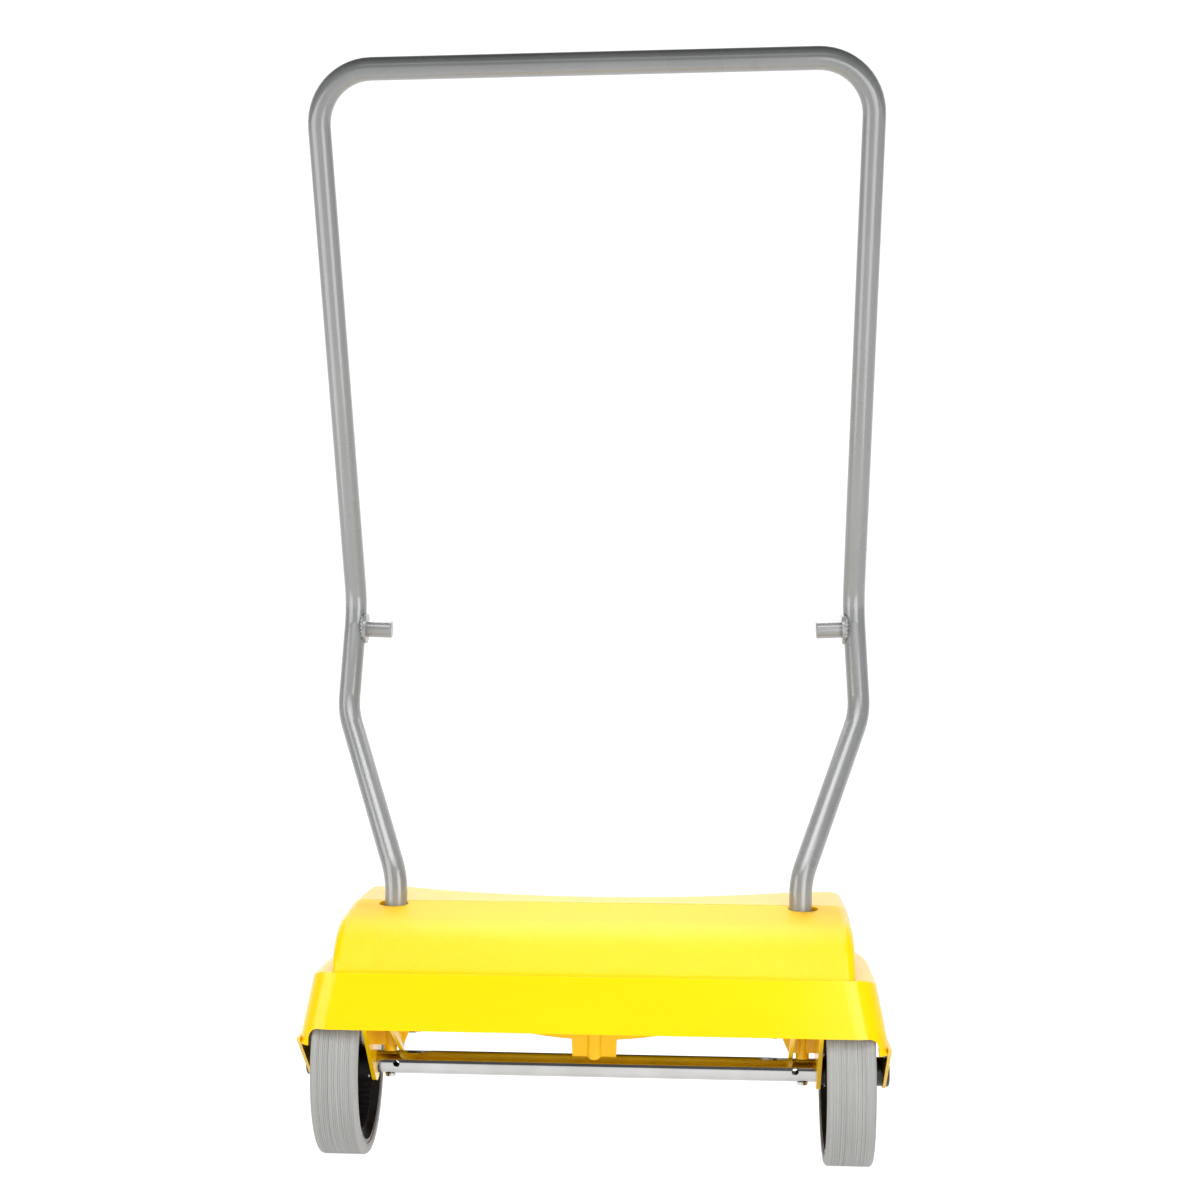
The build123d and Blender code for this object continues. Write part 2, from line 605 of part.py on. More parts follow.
def wheel_spacers():
    radius = AXLE_RADIUS + SPACER_WALL
    inner = ring_x(CHEEK_FACE_X, HUB_INNER_X - FREE_CLEARANCE, radius, AXLE_RADIUS, 0, AXLE_Z)
    outer = ring_x(HUB_OUTER_X + FREE_CLEARANCE, CHEEK_INNER_X, radius, AXLE_RADIUS, 0, AXLE_Z)
    pair = [inner, outer]
    return Compound([side(sign, ring) for sign in (1, -1) for ring in pair])


def tooth(root_r, tip_r, pitch_r, angle):
    """One straight-flanked gear tooth as a (Y, Z) sketch, inward or outward."""
    half = TOOTH_SHARE * math.pi * GEAR_MODULE / 2
    flank = math.tan(math.radians(20))
    root_half = half + abs(pitch_r - root_r) * flank
    tip_half = half - abs(tip_r - pitch_r) * flank
    sunk = root_r + math.copysign(1.0, root_r - tip_r)
    shape = outline((sunk, -root_half), (root_r, -root_half), (tip_r, -tip_half),
                    (tip_r, tip_half), (root_r, root_half), (sunk, root_half))
    return Rot(0, 0, angle) * shape


def ring_gear_hole():
    """Toothed opening of the internal gear, with a space at the mesh point."""
    root_r = RING_PITCH_R + GEAR_MODULE * TOOTH_DEPTH
    tip_r = RING_PITCH_R - GEAR_MODULE * TOOTH_HEIGHT
    step = 360 / RING_TEETH
    hole = Circle(root_r)
    teeth = [tooth(root_r, tip_r, RING_PITCH_R, MESH_ANGLE + (i + 0.5) * step)
             for i in range(RING_TEETH)]
    return hole - teeth


def wheel_rim(sign):
    """Black rim, open on its inner side, with the brush drive ring inside."""
    axis = Pos(0, AXLE_Z)
    inner_x = TYRE_INNER_X + 1.5
    outer_x = TYRE_OUTER_X - 1.5
    rim = ring_x(inner_x, outer_x, RIM_OUTER_R, RIM_OUTER_R - RIM_WEB, 0, AXLE_Z)
    gear = Circle(RIM_OUTER_R - RIM_WEB + 0.5) - ring_gear_hole()
    rim += plate_x(axis * gear, GEAR_INNER_X - 2, GEAR_OUTER_X + 2)
    web_x = outer_x - RIM_RECESS
    rim += ring_x(web_x - RIM_WEB, web_x, RIM_OUTER_R - 1, HUB_RADIUS - 1, 0, AXLE_Z)
    rim += rod_x(HUB_INNER_X, HUB_OUTER_X, HUB_RADIUS, 0, AXLE_Z)
    for i in range(RIM_SPOKES):
        spoke = Pos((HUB_RADIUS + RIM_OUTER_R) / 2 - 2, 0)
        spoke *= Rectangle(RIM_OUTER_R - HUB_RADIUS - 2, RIM_WEB)
        rim += plate_x(axis * Rot(0, 0, i * 360 / RIM_SPOKES) * spoke, web_x - 1,
                       outer_x - RIM_SPOKE_SET)
    return side(sign, rim - rod_x(0, TYRE_OUTER_X, AXLE_RADIUS + BUSH_WALL, 0, AXLE_Z))


def tyre(sign):
    ring = ring_x(TYRE_INNER_X, TYRE_OUTER_X, WHEEL_DIAMETER / 2, RIM_OUTER_R, 0, AXLE_Z)
    shoulders = [edge for edge in ring.edges().filter_by(GeomType.CIRCLE)
                 if edge.radius > RIM_OUTER_R + 1]
    return side(sign, fillet(shoulders, TYRE_SHOULDER))


def hub_bush(sign):
    bore = AXLE_RADIUS + RUN_CLEARANCE
    return side(sign, ring_x(HUB_INNER_X, HUB_OUTER_X, AXLE_RADIUS + BUSH_WALL, bore,
                             0, AXLE_Z))


# ---- handle
def handle_path():
    half = [(SOCKET_X, SOCKET_Y, SOCKET_BOTTOM), LOWER_BEND, MIDDLE_BEND, UPPER_BEND,
            TOP_CORNER]
    other = [(-x, y, z) for x, y, z in reversed(half)]
    radii = [LOWER_BEND_RADIUS, MIDDLE_BEND_RADIUS, UPPER_BEND_RADIUS, TOP_CORNER_RADIUS]
    return FilletPolyline(*half, *other, radius=radii + radii[::-1])


def handle_bar(radius):
    start = Plane.XY.offset(SOCKET_BOTTOM) * Pos(SOCKET_X, SOCKET_Y)
    return sweep(start * Circle(radius), path=handle_path())


def handle_tube():
    tube = handle_bar(TUBE_RADIUS) - handle_bar(TUBE_RADIUS - TUBE_WALL)
    for x in (-SOCKET_X, SOCKET_X):
        tube -= rod_y(SOCKET_Y, SOCKET_Y + 2 * TUBE_RADIUS, HANDLE_SCREW_DIAMETER / 2, x,
                      HANDLE_SCREW_Z)
    return tube


def peg_place():
    """Where the handle's centre line passes the pegs' height."""
    share = (PEG_HEIGHT - MIDDLE_BEND[2]) / (UPPER_BEND[2] - MIDDLE_BEND[2])
    return [low + share * (high - low) for low, high in zip(MIDDLE_BEND, UPPER_BEND)]


def square_to_leg(sign, solid, bar):
    """Tilt a piece drawn along X so that it stands square on the leaning leg."""
    place = Pos(*peg_place())
    tilted = place * Rot(0, PEG_TILT, 0) * place.inverse() * solid
    return side(sign, tilted) - bar


def hanging_peg(sign, bar):
    x, y, z = peg_place()
    face_x = x - TUBE_RADIUS - PEG_FLANGE_OFFSET
    peg = rod_x(PEG_END_X, face_x, PEG_DIAMETER / 2, y, z)
    peg = fillet(peg.edges().group_by(Axis.X)[0], PEG_EDGE_RADIUS)
    peg += rod_x(face_x, x, PEG_SPIGOT_DIAMETER / 2, y, z)
    return square_to_leg(sign, peg, bar)


def peg_flange(sign, bar):
    x, y, z = peg_place()
    face_x = x - TUBE_RADIUS - PEG_FLANGE_OFFSET
    ring = ring_x(face_x, face_x + PEG_FLANGE_THICKNESS, PEG_FLANGE_DIAMETER / 2,
                  PEG_SPIGOT_DIAMETER / 2, y, z)
    return square_to_leg(sign, ring, bar)


def peg_weld(sign, bar):
    x, y, z = peg_place()
    start = x - TUBE_RADIUS - PEG_FLANGE_OFFSET + PEG_FLANGE_THICKNESS
    ring = ring_x(start, x - TUBE_RADIUS / 3, PEG_WELD_DIAMETER / 2, PEG_SPIGOT_DIAMETER / 2,
                  y, z)
    return square_to_leg(sign, ring, bar)


def handle_screws():
    seat = SOCKET_Y + TUBE_RADIUS + SOCKET_WALL
    length = TUBE_RADIUS + SOCKET_WALL - 1
    screw = Rot(90, 0, 0) * pan_head_screw(HANDLE_SCREW_DIAMETER / 2, length)
    return Compound([Pos(x, seat, HANDLE_SCREW_Z) * screw for x in (-SOCKET_X, SOCKET_X)])


# ---- front rollers
def roller_bracket(sign):
    top = POD_TOP - WALL
    half = FORK_HALF
    feet = Polyline((ROLLER_Y - FORK_DEPTH / 2, top), (ROLLER_Y + FORK_DEPTH / 2, top))
    eye = Pos(ROLLER_Y, ROLLER_Z) * Circle(ROLLER_PIN_DIAMETER)
    leg = make_hull(feet.edges() + eye.edges())
    fork = plate_x(leg, ROLLER_X - half, ROLLER_X + half)
    gap = half - FORK_PLATE
    fork -= block(ROLLER_X - gap, ROLLER_X + gap, 0, 2 * ROLLER_Y, 0, top - FORK_PLATE)
    fork -= rod_x(ROLLER_X - 2 * half, ROLLER_X + 2 * half, ROLLER_PIN_DIAMETER / 2,
                  ROLLER_Y, ROLLER_Z)
    return side(sign, fork - bracket_bolt_shanks())


def bracket_bolts():
    inner = POD_INNER_X - WALL
    outer = POD_OUTER_X + WALL
    radius = BRACKET_BOLT_DIAMETER / 2
    bolts = []
    for y in (ROLLER_Y - BRACKET_BOLT_PITCH / 2, ROLLER_Y + BRACKET_BOLT_PITCH / 2):
        bolt = rod_x(inner, outer, radius, y, BRACKET_BOLT_Z)
        bolt += rod_x(inner - WALL, inner, 1.7 * radius, y, BRACKET_BOLT_Z)
        bolt += rod_x(outer, outer + WALL, 1.7 * radius, y, BRACKET_BOLT_Z)
        bolts += [bolt, side(-1, bolt)]
    return Compound(bolts)


def roller_pin(sign):
    half = FORK_HALF
    radius = ROLLER_PIN_DIAMETER / 2
    pin = rod_x(ROLLER_X - half, ROLLER_X + half, radius, ROLLER_Y, ROLLER_Z)
    pin += rod_x(ROLLER_X - half - PIN_HEAD, ROLLER_X - half, radius + 2, ROLLER_Y, ROLLER_Z)
    pin += rod_x(ROLLER_X + half, ROLLER_X + half + PIN_HEAD, radius + 2, ROLLER_Y, ROLLER_Z)
    return side(sign, pin)


def roller_core(sign):
    half = ROLLER_WIDTH / 2
    bore = ROLLER_PIN_DIAMETER / 2 + RUN_CLEARANCE
    outer = ROLLER_DIAMETER / 2 - ROLLER_TREAD
    core = ring_x(ROLLER_X - half, ROLLER_X + half, outer, bore, ROLLER_Y, ROLLER_Z)
    for end in (ROLLER_X - half, ROLLER_X + half):
        core -= ring_x(end - ROLLER_DISH, end + ROLLER_DISH, outer - 3, bore + 4,
                       ROLLER_Y, ROLLER_Z)
    return side(sign, core)


def roller_tread(sign):
    half = ROLLER_WIDTH / 2
    outer = ROLLER_DIAMETER / 2
    ring = ring_x(ROLLER_X - half, ROLLER_X + half, outer, outer - ROLLER_TREAD,
                  ROLLER_Y, ROLLER_Z)
    rims = [edge for edge in ring.edges().filter_by(GeomType.CIRCLE)
            if edge.radius > outer - 1]
    return side(sign, fillet(rims, ROLLER_TREAD / 2))


# ---- brush drive, on the -X side
def drive_shaft():
    return side(-1, rod_x(ARM_INNER_X - SHAFT_TAIL, GEAR_OUTER_X + 1.5, SHAFT_RADIUS,
                          PIVOT_Y, PIVOT_Z))


def drive_pinion():
    root_r = PINION_PITCH_R - GEAR_MODULE * TOOTH_DEPTH
    tip_r = PINION_PITCH_R + GEAR_MODULE * TOOTH_HEIGHT
    blank = Circle(root_r)
    for i in range(PINION_TEETH):
        blank += tooth(root_r, tip_r, PINION_PITCH_R, MESH_ANGLE + i * 360 / PINION_TEETH)
    blank -= Circle(SHAFT_RADIUS)
    return side(-1, plate_x(Pos(PIVOT_Y, PIVOT_Z) * blank, GEAR_INNER_X, GEAR_OUTER_X))


def pulley(diameter, bore, centre):
    y, z = centre
    wheel = ring_x(BELT_INNER_X - 0.5, BELT_OUTER_X + 0.5, diameter / 2, bore, y, z)
    flange = diameter / 2 + BELT_THICKNESS + FREE_CLEARANCE
    wheel += ring_x(BELT_INNER_X - 1.4, BELT_INNER_X - 0.4, flange, bore, y, z)
    return side(-1, wheel)


def shaft_clip():
    end = ARM_INNER_X - SHAFT_TAIL
    return side(-1, ring_x(end + 1, end + 2.2, SHAFT_RADIUS + 3, SHAFT_RADIUS,
                           PIVOT_Y, PIVOT_Z))


def pivot_bearing(sign):
    bore = SHAFT_RADIUS + RUN_CLEARANCE
    sleeve = rod_x(RIB_INNER_X, CHEEK_FACE_X, BEARING_OD / 2, PIVOT_Y, PIVOT_Z)
    sleeve += rod_x(CHEEK_FACE_X, CHEEK_FACE_X + BEARING_FLANGE, BEARING_OD / 2 + 3,
                    PIVOT_Y, PIVOT_Z)
    return side(sign, sleeve - rod_x(0, 2 * CHEEK_FACE_X, bore, PIVOT_Y, PIVOT_Z))


def hexagon_x(x0, x1, across, y, z):
    sketch = Pos(y, z) * RegularPolygon(across / 2, 6, major_radius=False)
    return plate_x(sketch, x0, x1)


def pivot_bolt():
    head_x = CHEEK_FACE_X + BEARING_FLANGE
    bolt = rod_x(NUT_INNER_X - 2, head_x, SHAFT_RADIUS, PIVOT_Y, PIVOT_Z)
    return bolt + hexagon_x(head_x, head_x + 5, NUT_ACROSS, PIVOT_Y, PIVOT_Z)


def pivot_nut():
    nut = hexagon_x(NUT_INNER_X, NUT_INNER_X + NUT_HEIGHT, NUT_ACROSS, PIVOT_Y, PIVOT_Z)
    return nut - rod_x(0, ARM_INNER_X, SHAFT_RADIUS, PIVOT_Y, PIVOT_Z)


def friction_washers():
    start = NUT_INNER_X + NUT_HEIGHT
    rings = []
    for i in range(2):
        x = start + i * WASHER_THICKNESS
        rings.append(ring_x(x, x + WASHER_THICKNESS, NUT_ACROSS / 2 + i, SHAFT_RADIUS,
                            PIVOT_Y, PIVOT_Z))
    return Compound(rings)


def pivot_spacer():
    return ring_x(ARM_OUTER_X + FREE_CLEARANCE, RIB_INNER_X, SHAFT_RADIUS + 4, SHAFT_RADIUS,
                  PIVOT_Y, PIVOT_Z)


# ---- brush head
def head_centres():
    return (PIVOT_Y, PIVOT_Z), (BRUSH_Y, BRUSH_Z)


def cover_boss_place():
    """Screw place on the arm's centre line, just outside the cover's arc."""
    share = (COVER_RADIUS + COVER_BOSS / 2) / ARM_LENGTH
    y = BRUSH_Y + share * (PIVOT_Y - BRUSH_Y)
    z = BRUSH_Z + share * (PIVOT_Z - BRUSH_Z)
    return y, z


def pan_screw_place():
    return (PAN_REAR + PAN_FRONT) / 2, (PAN_BOTTOM + PAN_TOP) / 2 + 2


def cover_line_z(y):
    """Height of the cover's flat front panel over one Y."""
    angle = math.radians(COVER_FRONT_ANGLE)
    start_y = BRUSH_Y + COVER_RADIUS * math.cos(angle)
    start_z = BRUSH_Z + COVER_RADIUS * math.sin(angle)
    return start_z + (y - start_y) * (PAN_TOP - start_z) / (PAN_FRONT - start_y)


def screw_seat(place):
    """Countersunk screw hole through one arm."""
    radius = SMALL_SCREW_DIAMETER / 2
    hole = rod_x(ARM_INNER_X - HEAD_SCREW_LENGTH, ARM_OUTER_X, radius, *place)
    cone = Pos(ARM_OUTER_X - radius / 2, *place) * Rot(0, 90, 0)
    return hole + cone * Cone(radius, 2 * radius, radius)


def arm(sign):
    pivot, brush = head_centres()
    shape = link(pivot, ARM_END_RADIUS, brush, ARM_END_RADIUS)
    shape += link(brush, ARM_END_RADIUS, pan_screw_place(), ARM_TOE_RADIUS)
    plate = plate_x(shape, ARM_INNER_X, ARM_OUTER_X)
    plate -= rod_x(0, 2 * ARM_X, SHAFT_RADIUS + BUSH_WALL, *pivot)
    plate -= rod_x(0, 2 * ARM_X, BRUSH_SHAFT_DIAMETER / 2 + BUSH_WALL, *brush)
    plate -= screw_seat(cover_boss_place()) + screw_seat(pan_screw_place())
    return raised(side(sign, plate))


def flanged_bush(shaft_radius, centre):
    bore = shaft_radius + RUN_CLEARANCE
    sleeve = rod_x(ARM_INNER_X, ARM_OUTER_X, shaft_radius + BUSH_WALL, *centre)
    sleeve += rod_x(ARM_INNER_X - BEARING_FLANGE, ARM_INNER_X, shaft_radius + 2 * BUSH_WALL,
                    *centre)
    return sleeve - rod_x(0, 2 * ARM_X, bore, *centre)


def arm_bushes():
    bush = flanged_bush(SHAFT_RADIUS, head_centres()[0])
    return Compound([raised(side(sign, bush)) for sign in (1, -1)])


def brush_bearings():
    bush = flanged_bush(BRUSH_SHAFT_DIAMETER / 2, head_centres()[1])
    return Compound([raised(side(sign, bush)) for sign in (1, -1)])


def head_screws():
    screw_pair = [screw_seat(cover_boss_place()), screw_seat(pan_screw_place())]
    return Compound([raised(side(sign, screw)) for sign in (1, -1) for screw in screw_pair])


def head_cover():
    centre = Pos(BRUSH_Y, BRUSH_Z)
    outer = COVER_RADIUS + COVER_THICKNESS
    start = math.radians(COVER_FRONT_ANGLE)
    stop = math.radians(COVER_REAR_ANGLE)
    reach = 3 * COVER_RADIUS
    wedge = [(0, 0)]
    for i in range(5):
        angle = start + (stop - start) * i / 4
        wedge.append((reach * math.cos(angle), reach * math.sin(angle)))
    arc = centre * ((Circle(outer) - Circle(COVER_RADIUS)) & outline(*wedge))
    panel_start = (BRUSH_Y + COVER_RADIUS * math.cos(start),
                   BRUSH_Z + COVER_RADIUS * math.sin(start))
    panel_lift = (BRUSH_Y + outer * math.cos(start), BRUSH_Z + outer * math.sin(start))
    panel = outline(panel_start, (PAN_FRONT, PAN_TOP),
                    (PAN_FRONT, PAN_TOP + COVER_THICKNESS), panel_lift)
    cover = plate_x(arc + panel, -ARM_INNER_X, ARM_INNER_X)
    boss = rod_x(ARM_INNER_X - HEAD_SCREW_LENGTH - 2, ARM_INNER_X, COVER_BOSS / 2,
                 *cover_boss_place())
    boss -= rod_x(0, 2 * ARM_X, COVER_RADIUS + COVER_THICKNESS / 2, BRUSH_Y, BRUSH_Z)
    cover += both_sides(boss)
    return raised(cover - both_sides(screw_seat(cover_boss_place())))


def dust_pan():
    side_face = outline((PAN_REAR, PAN_BOTTOM), (PAN_FRONT, PAN_BOTTOM), (PAN_FRONT, PAN_TOP),
                        (PAN_REAR, cover_line_z(PAN_REAR)))
    pan = plate_x(side_face, -ARM_INNER_X, ARM_INNER_X)
    inner = ARM_INNER_X - PAN_WALL
    pan -= block(-inner, inner, PAN_REAR + PAN_WALL, PAN_FRONT - PAN_WALL, 0, 3 * PAN_TOP)
    pan -= block(-inner, inner, PAN_REAR - 1, PAN_REAR + 2 * PAN_WALL, PAN_REAR_TOP, 3 * PAN_TOP)
    boss_y, boss_z = pan_screw_place()
    pan += both_sides(rod_x(ARM_INNER_X - HEAD_SCREW_LENGTH - 2, ARM_INNER_X, COVER_BOSS / 2,
                            boss_y, boss_z))
    for x0, x1 in PAN_KNUCKLES:
        pan += rod_x(x0, x1, FLAP_KNUCKLE, *flap_axis())
        pan += block(x0, x1, PAN_FRONT - 1, flap_axis()[0], PAN_BOTTOM + 2,
                     PAN_BOTTOM + 2 + FLAP_KNUCKLE)
    pan -= rod_x(-ARM_INNER_X, ARM_INNER_X, FLAP_PIN_DIAMETER / 2, *flap_axis())
    return raised(pan - both_sides(screw_seat(pan_screw_place())))


def flap_axis():
    return PAN_FRONT + FLAP_KNUCKLE + FREE_CLEARANCE, PAN_BOTTOM + 2.0


def pan_flap():
    """Hinged floor of the dust pan."""
    half = ARM_INNER_X - FLAP_SIDE_GAP
    bottom = FLAP_TOP - FLAP_THICKNESS
    flap = block(-half, half, PAN_REAR, PAN_FRONT, bottom, FLAP_TOP)
    for x0, x1 in FLAP_KNUCKLES:
        flap += rod_x(x0, x1, FLAP_KNUCKLE, *flap_axis())
        flap += block(x0, x1, PAN_FRONT - 1, flap_axis()[0], bottom, FLAP_TOP)
    bore = FLAP_PIN_DIAMETER / 2 + RUN_CLEARANCE
    return raised(flap - rod_x(-half, half, bore, *flap_axis()))


def flap_pin():
    half = PAN_KNUCKLES[-1][1]
    return raised(rod_x(-half, half, FLAP_PIN_DIAMETER / 2, *flap_axis()))


def drive_belt():
    pivot, brush = head_centres()
    drive_r = DRIVE_PULLEY_DIAMETER / 2 + FREE_CLEARANCE
    brush_r = BRUSH_PULLEY_DIAMETER / 2 + FREE_CLEARANCE
    loop = link(pivot, drive_r + BELT_THICKNESS, brush, brush_r + BELT_THICKNESS)
    loop -= link(pivot, drive_r, brush, brush_r)
    return raised(side(-1, plate_x(loop, BELT_INNER_X, BELT_OUTER_X)))


# ---- brush
def brush_shaft():
    radius = BRUSH_SHAFT_DIAMETER / 2
    shaft = rod_x(-BELT_OUTER_X - 1, ARM_OUTER_X + 1.5, radius, BRUSH_Y, BRUSH_Z)
    return raised(shaft)


def brush_core():
    core = ring_x(-BRUSH_HALF_LENGTH, BRUSH_HALF_LENGTH, BRUSH_CORE_DIAMETER / 2,
                  BRUSH_SHAFT_DIAMETER / 2, BRUSH_Y, BRUSH_Z)
    return raised(core)


def bristle_rows():
    centre = Pos(0, BRUSH_Y, BRUSH_Z)
    half = BRISTLE_ROW_THICKNESS / 2
    length = BRUSH_HALF_LENGTH - BRISTLE_END
    tips = rod_x(-BRUSH_HALF_LENGTH, BRUSH_HALF_LENGTH, BRUSH_RADIUS, 0, 0)
    core = rod_x(-BRUSH_HALF_LENGTH, BRUSH_HALF_LENGTH, BRUSH_CORE_DIAMETER / 2, 0, 0)
    row = (block(-length, length, -half, half, 0, BRUSH_RADIUS) & tips) - core
    rows = []
    for i in range(BRISTLE_ROWS):
        turn = Rot((i + 0.5) * 360 / BRISTLE_ROWS, 0, 0)
        rows.append(raised(centre * turn * row))
    return Compound(rows)


def drive_pulley():
    return pulley(DRIVE_PULLEY_DIAMETER, SHAFT_RADIUS, head_centres()[0])


def brush_pulley():
    return raised(pulley(BRUSH_PULLEY_DIAMETER, BRUSH_SHAFT_DIAMETER / 2, head_centres()[1]))


# ---- all nodes
def all_nodes():
    bar = handle_bar(TUBE_RADIUS)
    nodes = {
        "housing_shell": housing_shell(),
        "front_hood": front_hood(),
        "hood_screws": hood_screws(),
        "axle_tube": axle_tube(),
        "axle_screws": axle_screws(),
        "wheel_spacers": wheel_spacers(),
        "handle_tube": handle_tube(),
        "handle_screws": handle_screws(),
        "bracket_bolts": bracket_bolts(),
        "drive_shaft": drive_shaft(),
        "drive_pinion": drive_pinion(),
        "drive_pulley": drive_pulley(),
        "shaft_clip": shaft_clip(),
        "pivot_bolt": pivot_bolt(),
        "pivot_nut": pivot_nut(),
        "friction_washers": friction_washers(),
        "pivot_spacer": pivot_spacer(),
        "arm_bushes": arm_bushes(),
        "brush_bearings": brush_bearings(),
        "head_screws": head_screws(),
        "head_cover": head_cover(),
        "dust_pan": dust_pan(),
        "pan_flap": pan_flap(),
        "flap_pin": flap_pin(),
        "drive_belt": drive_belt(),
        "brush_shaft": brush_shaft(),
        "brush_core": brush_core(),
        "bristle_rows": bristle_rows(),
        "brush_pulley": brush_pulley(),
    }
    for name, sign in (("left", -1), ("right", 1)):
        nodes["tyre_" + name] = tyre(sign)
        nodes["wheel_rim_" + name] = wheel_rim(sign)
        nodes["hub_bush_" + name] = hub_bush(sign)
        nodes["axle_cap_" + name] = axle_end_cap(sign)
        nodes["hanging_peg_" + name] = hanging_peg(sign, bar)
        nodes["peg_flange_" + name] = peg_flange(sign, bar)
        nodes["peg_weld_" + name] = peg_weld(sign, bar)
        nodes["pivot_bearing_" + name] = pivot_bearing(sign)
        nodes["swing_arm_" + name] = arm(sign)
        nodes["roller_bracket_" + name] = roller_bracket(sign)
        nodes["roller_pin_" + name] = roller_pin(sign)
        nodes["roller_core_" + name] = roller_core(sign)
        nodes["roller_tread_" + name] = roller_tread(sign)
    return nodes


def main():
    os.makedirs("parts", exist_ok=True)
    for name, solid in all_nodes().items():
        export_step(Pos(0, -FOOTPRINT_CENTRE, 0) * solid, "parts/" + name + ".step")


main()
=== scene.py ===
import json
import math
import random

import bmesh
import bpy
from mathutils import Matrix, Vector


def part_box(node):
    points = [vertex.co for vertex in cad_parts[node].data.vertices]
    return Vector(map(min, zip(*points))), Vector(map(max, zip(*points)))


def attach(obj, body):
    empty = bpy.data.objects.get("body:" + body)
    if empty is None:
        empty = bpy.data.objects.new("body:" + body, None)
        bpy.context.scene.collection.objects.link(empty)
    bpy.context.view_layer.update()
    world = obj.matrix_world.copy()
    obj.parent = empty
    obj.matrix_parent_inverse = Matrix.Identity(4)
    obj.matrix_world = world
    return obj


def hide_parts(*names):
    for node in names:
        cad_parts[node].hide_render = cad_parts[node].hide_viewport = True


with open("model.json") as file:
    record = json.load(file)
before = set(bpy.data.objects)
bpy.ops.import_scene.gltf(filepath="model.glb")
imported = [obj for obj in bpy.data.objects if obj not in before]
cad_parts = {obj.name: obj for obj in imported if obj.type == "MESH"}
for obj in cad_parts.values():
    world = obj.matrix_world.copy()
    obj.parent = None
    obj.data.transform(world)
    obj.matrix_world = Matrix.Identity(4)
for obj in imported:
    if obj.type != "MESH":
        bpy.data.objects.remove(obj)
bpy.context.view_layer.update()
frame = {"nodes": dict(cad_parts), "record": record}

nodes = frame["nodes"]
SIDES = ("left", "right")

# ---- camera and floor: lens and sensor in millimetres, turn in degrees, the rest in metres
LENS = 64.5
SENSOR_WIDTH = 36.0
LENS_SHIFT = 0.0854
CAMERA_PLACE = (0.1084, -2.124, 0.533)
CAMERA_TURN = 5.6
CLIP_END = 50.0
FLOOR_HALF = 15.0

# ---- tyres, welds, bristles and grain, lengths in metres
TYRE_WALL = 0.010
TYRE_SHOULDER = 0.004
ROLLER_TREAD = 0.005
ROLLER_SHOULDER = 0.0015
TYRE_GROOVE = (0.0016, 0.0005)
ROLLER_GROOVE = (0.0014, 0.0004)
TYRE_STEPS = 144
ROLLER_STEPS = 96
FLANGE_THICKNESS = 0.003
PEG_TILT = math.radians(2.12)
WELD_RING = 0.0108
WELD_SIZE = 0.0026
WELD_AROUND = 120
WELD_ACROSS = 10
BRUSH_ROWS = 6
BRUSH_RADIUS = 0.036
BRUSH_ROW_START = 90 + 30 + 58.2
TUFTS = 46
BRISTLES_IN_TUFT = 16
BRISTLE_SINK = 0.001
GRAIN_HALF_WIDTH = 0.2325
GRAIN_BOTTOM = 0.187
GRAIN_END = -0.0165
GRAIN_PITCH = 0.0013
random.seed(7)


# ---- camera, light and floor
def look_from(obj, place, target):
    obj.location = place
    obj.rotation_euler = (Vector(target) - Vector(place)).to_track_quat("-Z", "Y").to_euler()


def make_camera():
    data = bpy.data.cameras.new("camera")
    data.lens = LENS
    data.sensor_width = SENSOR_WIDTH
    data.shift_x = LENS_SHIFT
    data.clip_end = CLIP_END
    camera = bpy.data.objects.new("camera", data)
    bpy.context.scene.collection.objects.link(camera)
    camera.location = CAMERA_PLACE
    camera.rotation_euler = (math.radians(90), 0, math.radians(CAMERA_TURN))
    bpy.context.scene.camera = camera


def softbox(name, place, target, width, height, radiance, spread):
    """A rectangular lamp whose face has the given brightness."""
    data = bpy.data.lights.new(name, "AREA")
    data.shape = "RECTANGLE"
    data.size = width
    data.size_y = height
    data.energy = radiance * math.pi * width * height
    data.spread = math.radians(spread)
    lamp = bpy.data.objects.new(name, data)
    bpy.context.scene.collection.objects.link(lamp)
    look_from(lamp, place, target)
    lamp.visible_camera = False


def make_world():
    """White backdrop whose light is dimmer from behind the camera and from above."""
    world = bpy.data.worlds.new("studio")
    bpy.context.scene.world = world
    world.use_nodes = True
    tree = world.node_tree
    coords = tree.nodes.new("ShaderNodeTexCoord")
    split = tree.nodes.new("ShaderNodeSeparateXYZ")
    tree.links.new(coords.outputs["Generated"], split.inputs[0])
    parts = []
    for axis, low, high, start, end in (("Y", 0.1, 0.8, 0.12, 1.08), ("Z", 0.3, 0.85, 1.0, 0.25)):
        ramp = tree.nodes.new("ShaderNodeMapRange")
        ramp.interpolation_type = "SMOOTHSTEP"
        ramp.inputs["From Min"].default_value = low
        ramp.inputs["From Max"].default_value = high
        ramp.inputs["To Min"].default_value = start
        ramp.inputs["To Max"].default_value = end
        tree.links.new(split.outputs[axis], ramp.inputs["Value"])
        parts.append(ramp.outputs[0])
    both = tree.nodes.new("ShaderNodeMath")
    both.operation = "MULTIPLY"
    tree.links.new(parts[0], both.inputs[0])
    tree.links.new(parts[1], both.inputs[1])
    seen = tree.nodes.new("ShaderNodeLightPath")
    shown = tree.nodes.new("ShaderNodeMath")
    shown.operation = "MAXIMUM"
    tree.links.new(both.outputs[0], shown.inputs[0])
    tree.links.new(seen.outputs["Is Camera Ray"], shown.inputs[1])
    background = tree.nodes["Background"]
    tree.links.new(shown.outputs[0], background.inputs["Strength"])
    background.inputs["Color"].default_value = (1, 1, 1, 1)


